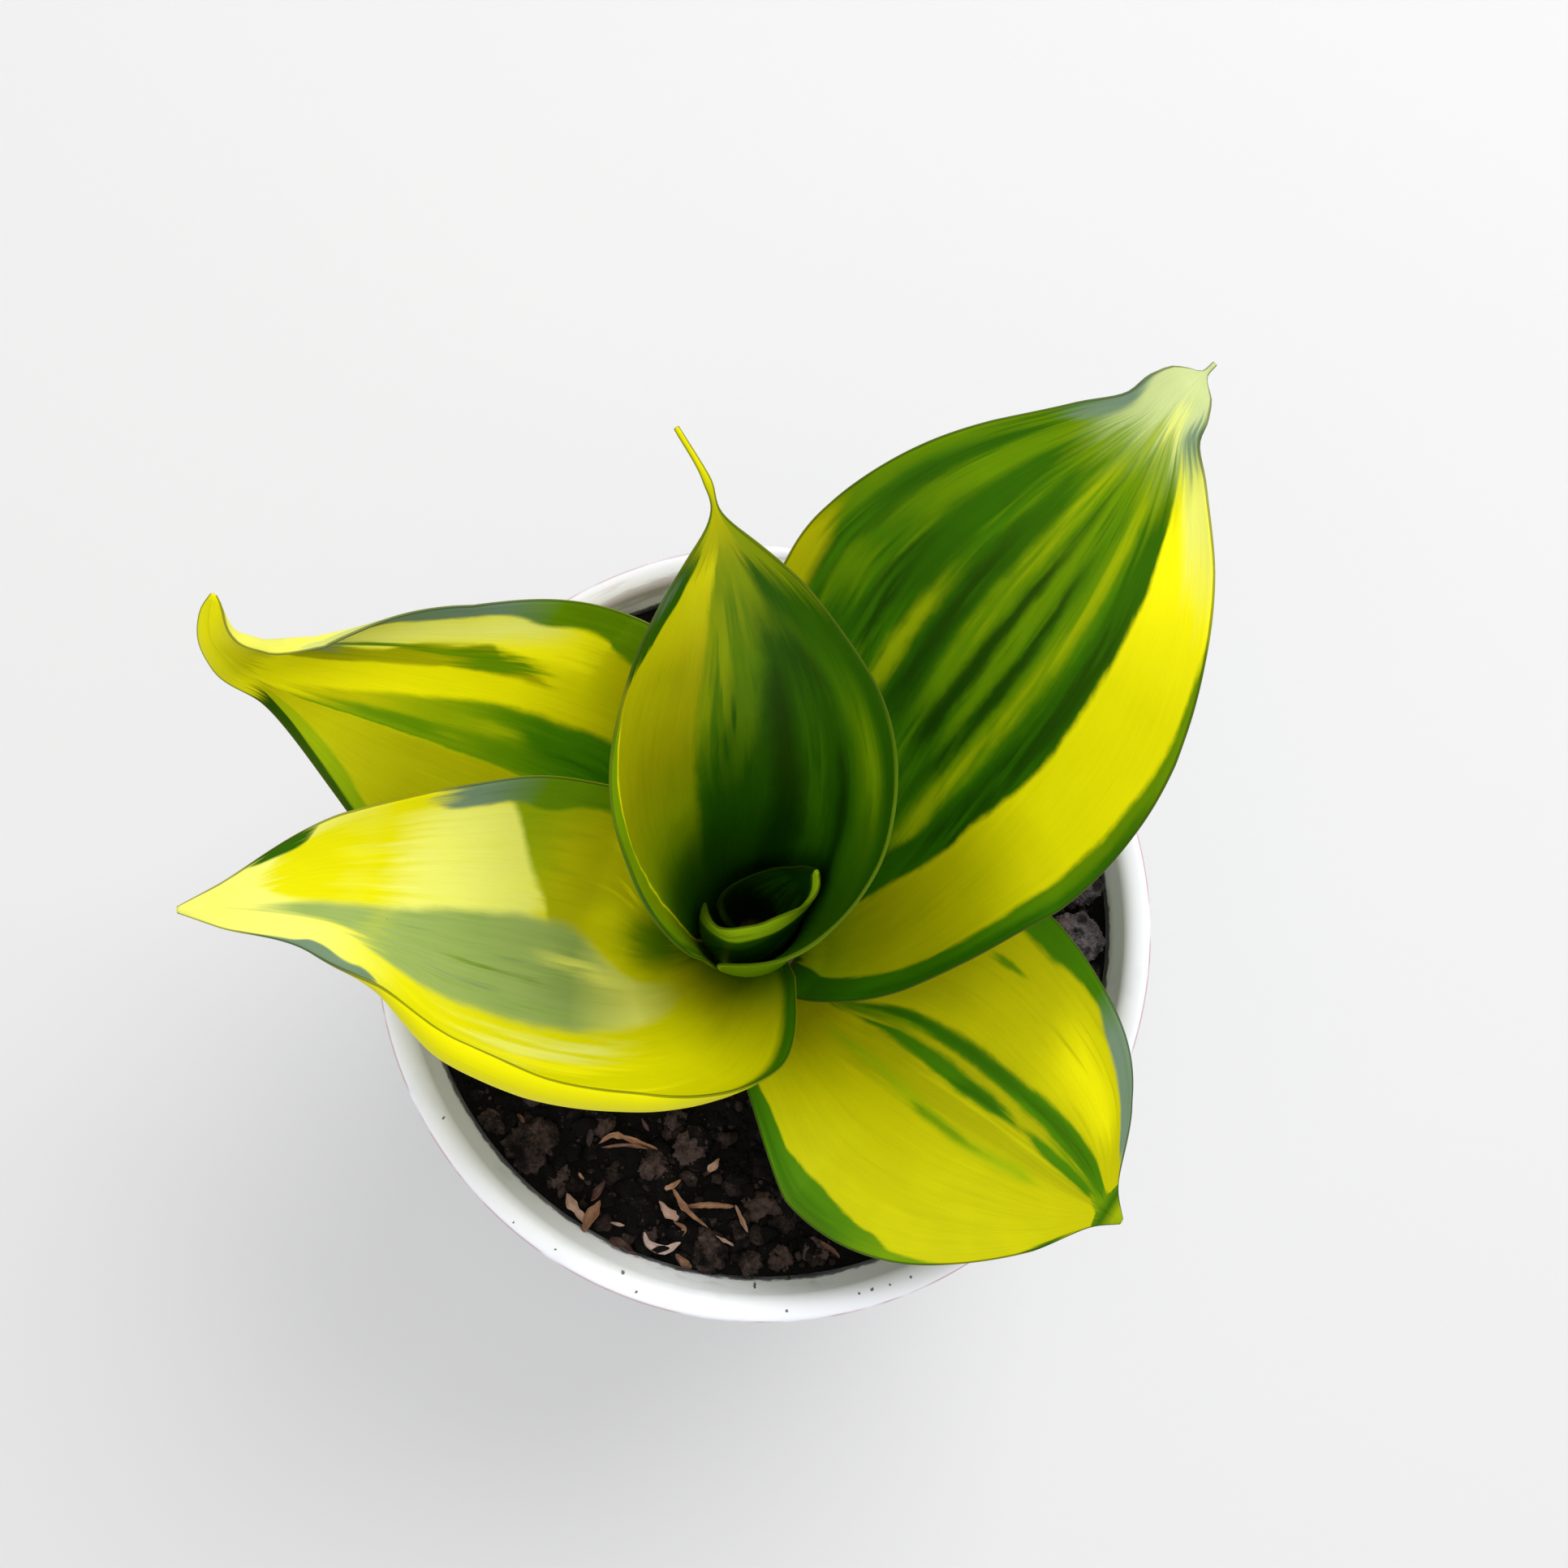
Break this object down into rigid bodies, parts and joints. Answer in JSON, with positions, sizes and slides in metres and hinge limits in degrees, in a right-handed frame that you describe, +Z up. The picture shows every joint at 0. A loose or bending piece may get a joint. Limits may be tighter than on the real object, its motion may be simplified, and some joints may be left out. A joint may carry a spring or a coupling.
{
  "type": "potted variegated snake plant",
  "caption": "Potted variegated snake plant: a rosette of broad channelled yellow and green leaves with pointed tips, in bark potting mix in a round tapered white pot. Decorative.",
  "frame": {"origin": "middle of the pot's foot, on the surface that it stands on", "axes": "+Z up along the pot's axis; +Y towards the side that the tallest leaf leans to, the top of the picture; +X to the picture's right"},
  "size_m": [0.1681, 0.1613, 0.2238],
  "materials": {
    "pot_glaze": "glossy white glaze, slightly worn and specked at the rim",
    "potting_mix": "moist dark bark and coir potting mix with pale rice husks",
    "porous_stone": "rough grey porous chunks",
    "crown": "fibrous pale green stem",
    "leaf": "smooth waxy leaf, yellow with green stripes and dark green margins"
  },
  "bodies": {
    "root": {"pot": "pot_glaze", "soil": "potting_mix", "porous_chunk_1": "porous_stone", "porous_chunk_2": "porous_stone", "crown": "crown", "leaf_young_rolled": "leaf", "leaf_centre_funnel": "leaf", "leaf_lower_left": "leaf", "leaf_right": "leaf", "leaf_upper_left": "leaf", "leaf_lower_right": "leaf"}
  },
  "joints": []
}
